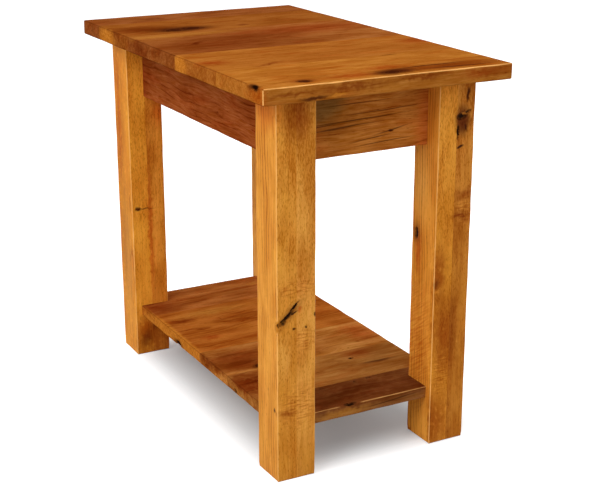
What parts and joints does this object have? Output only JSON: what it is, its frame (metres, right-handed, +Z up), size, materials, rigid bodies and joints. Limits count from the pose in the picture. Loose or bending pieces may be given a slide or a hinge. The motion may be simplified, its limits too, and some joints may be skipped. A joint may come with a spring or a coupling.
{
  "type": "end table",
  "caption": "Rustic end table: a planked top on square two-ply legs with plain aprons, and a low planked shelf let into the legs.",
  "frame": {"origin": "on the floor, under the middle of the top", "axes": "+X across the table, the short way, to the right as seen from the front; +Y along it to the back; +Z up"},
  "size_m": [0.406, 0.69, 0.603],
  "materials": {
    "top_hickory": "satin oil over warm brown stain",
    "shelf_hickory": "satin oil over warm brown stain",
    "leg_hickory": "satin oil over warm brown stain",
    "apron_hickory": "satin oil over warm brown stain",
    "inner_hardwood": "sawn, unfinished",
    "screw_steel": "zinc plated, yellow"
  },
  "bodies": {
    "root": {"back_apron": "apron_hickory", "corner_block_back_left": "inner_hardwood", "corner_block_back_right": "inner_hardwood", "corner_block_front_left": "inner_hardwood", "corner_block_front_right": "inner_hardwood", "corner_block_screws": "screw_steel", "front_apron": "apron_hickory", "left_apron": "apron_hickory", "leg_back_left_inner_ply": "leg_hickory", "leg_back_left_outer_ply": "leg_hickory", "leg_back_right_inner_ply": "leg_hickory", "leg_back_right_outer_ply": "leg_hickory", "leg_front_left_inner_ply": "leg_hickory", "leg_front_left_outer_ply": "leg_hickory", "leg_front_right_inner_ply": "leg_hickory", "leg_front_right_outer_ply": "leg_hickory", "right_apron": "apron_hickory", "shelf_board_1": "shelf_hickory", "shelf_board_2": "shelf_hickory", "shelf_board_3": "shelf_hickory", "shelf_board_4": "shelf_hickory", "shelf_board_5": "shelf_hickory", "top_board_1": "top_hickory", "top_board_2": "top_hickory", "top_board_3": "top_hickory", "top_board_4": "top_hickory", "top_board_5": "top_hickory", "top_button_back": "inner_hardwood", "top_button_front": "inner_hardwood", "top_button_left_1": "inner_hardwood", "top_button_left_2": "inner_hardwood", "top_button_right_1": "inner_hardwood", "top_button_right_2": "inner_hardwood", "top_button_screws": "screw_steel"}
  },
  "joints": []
}
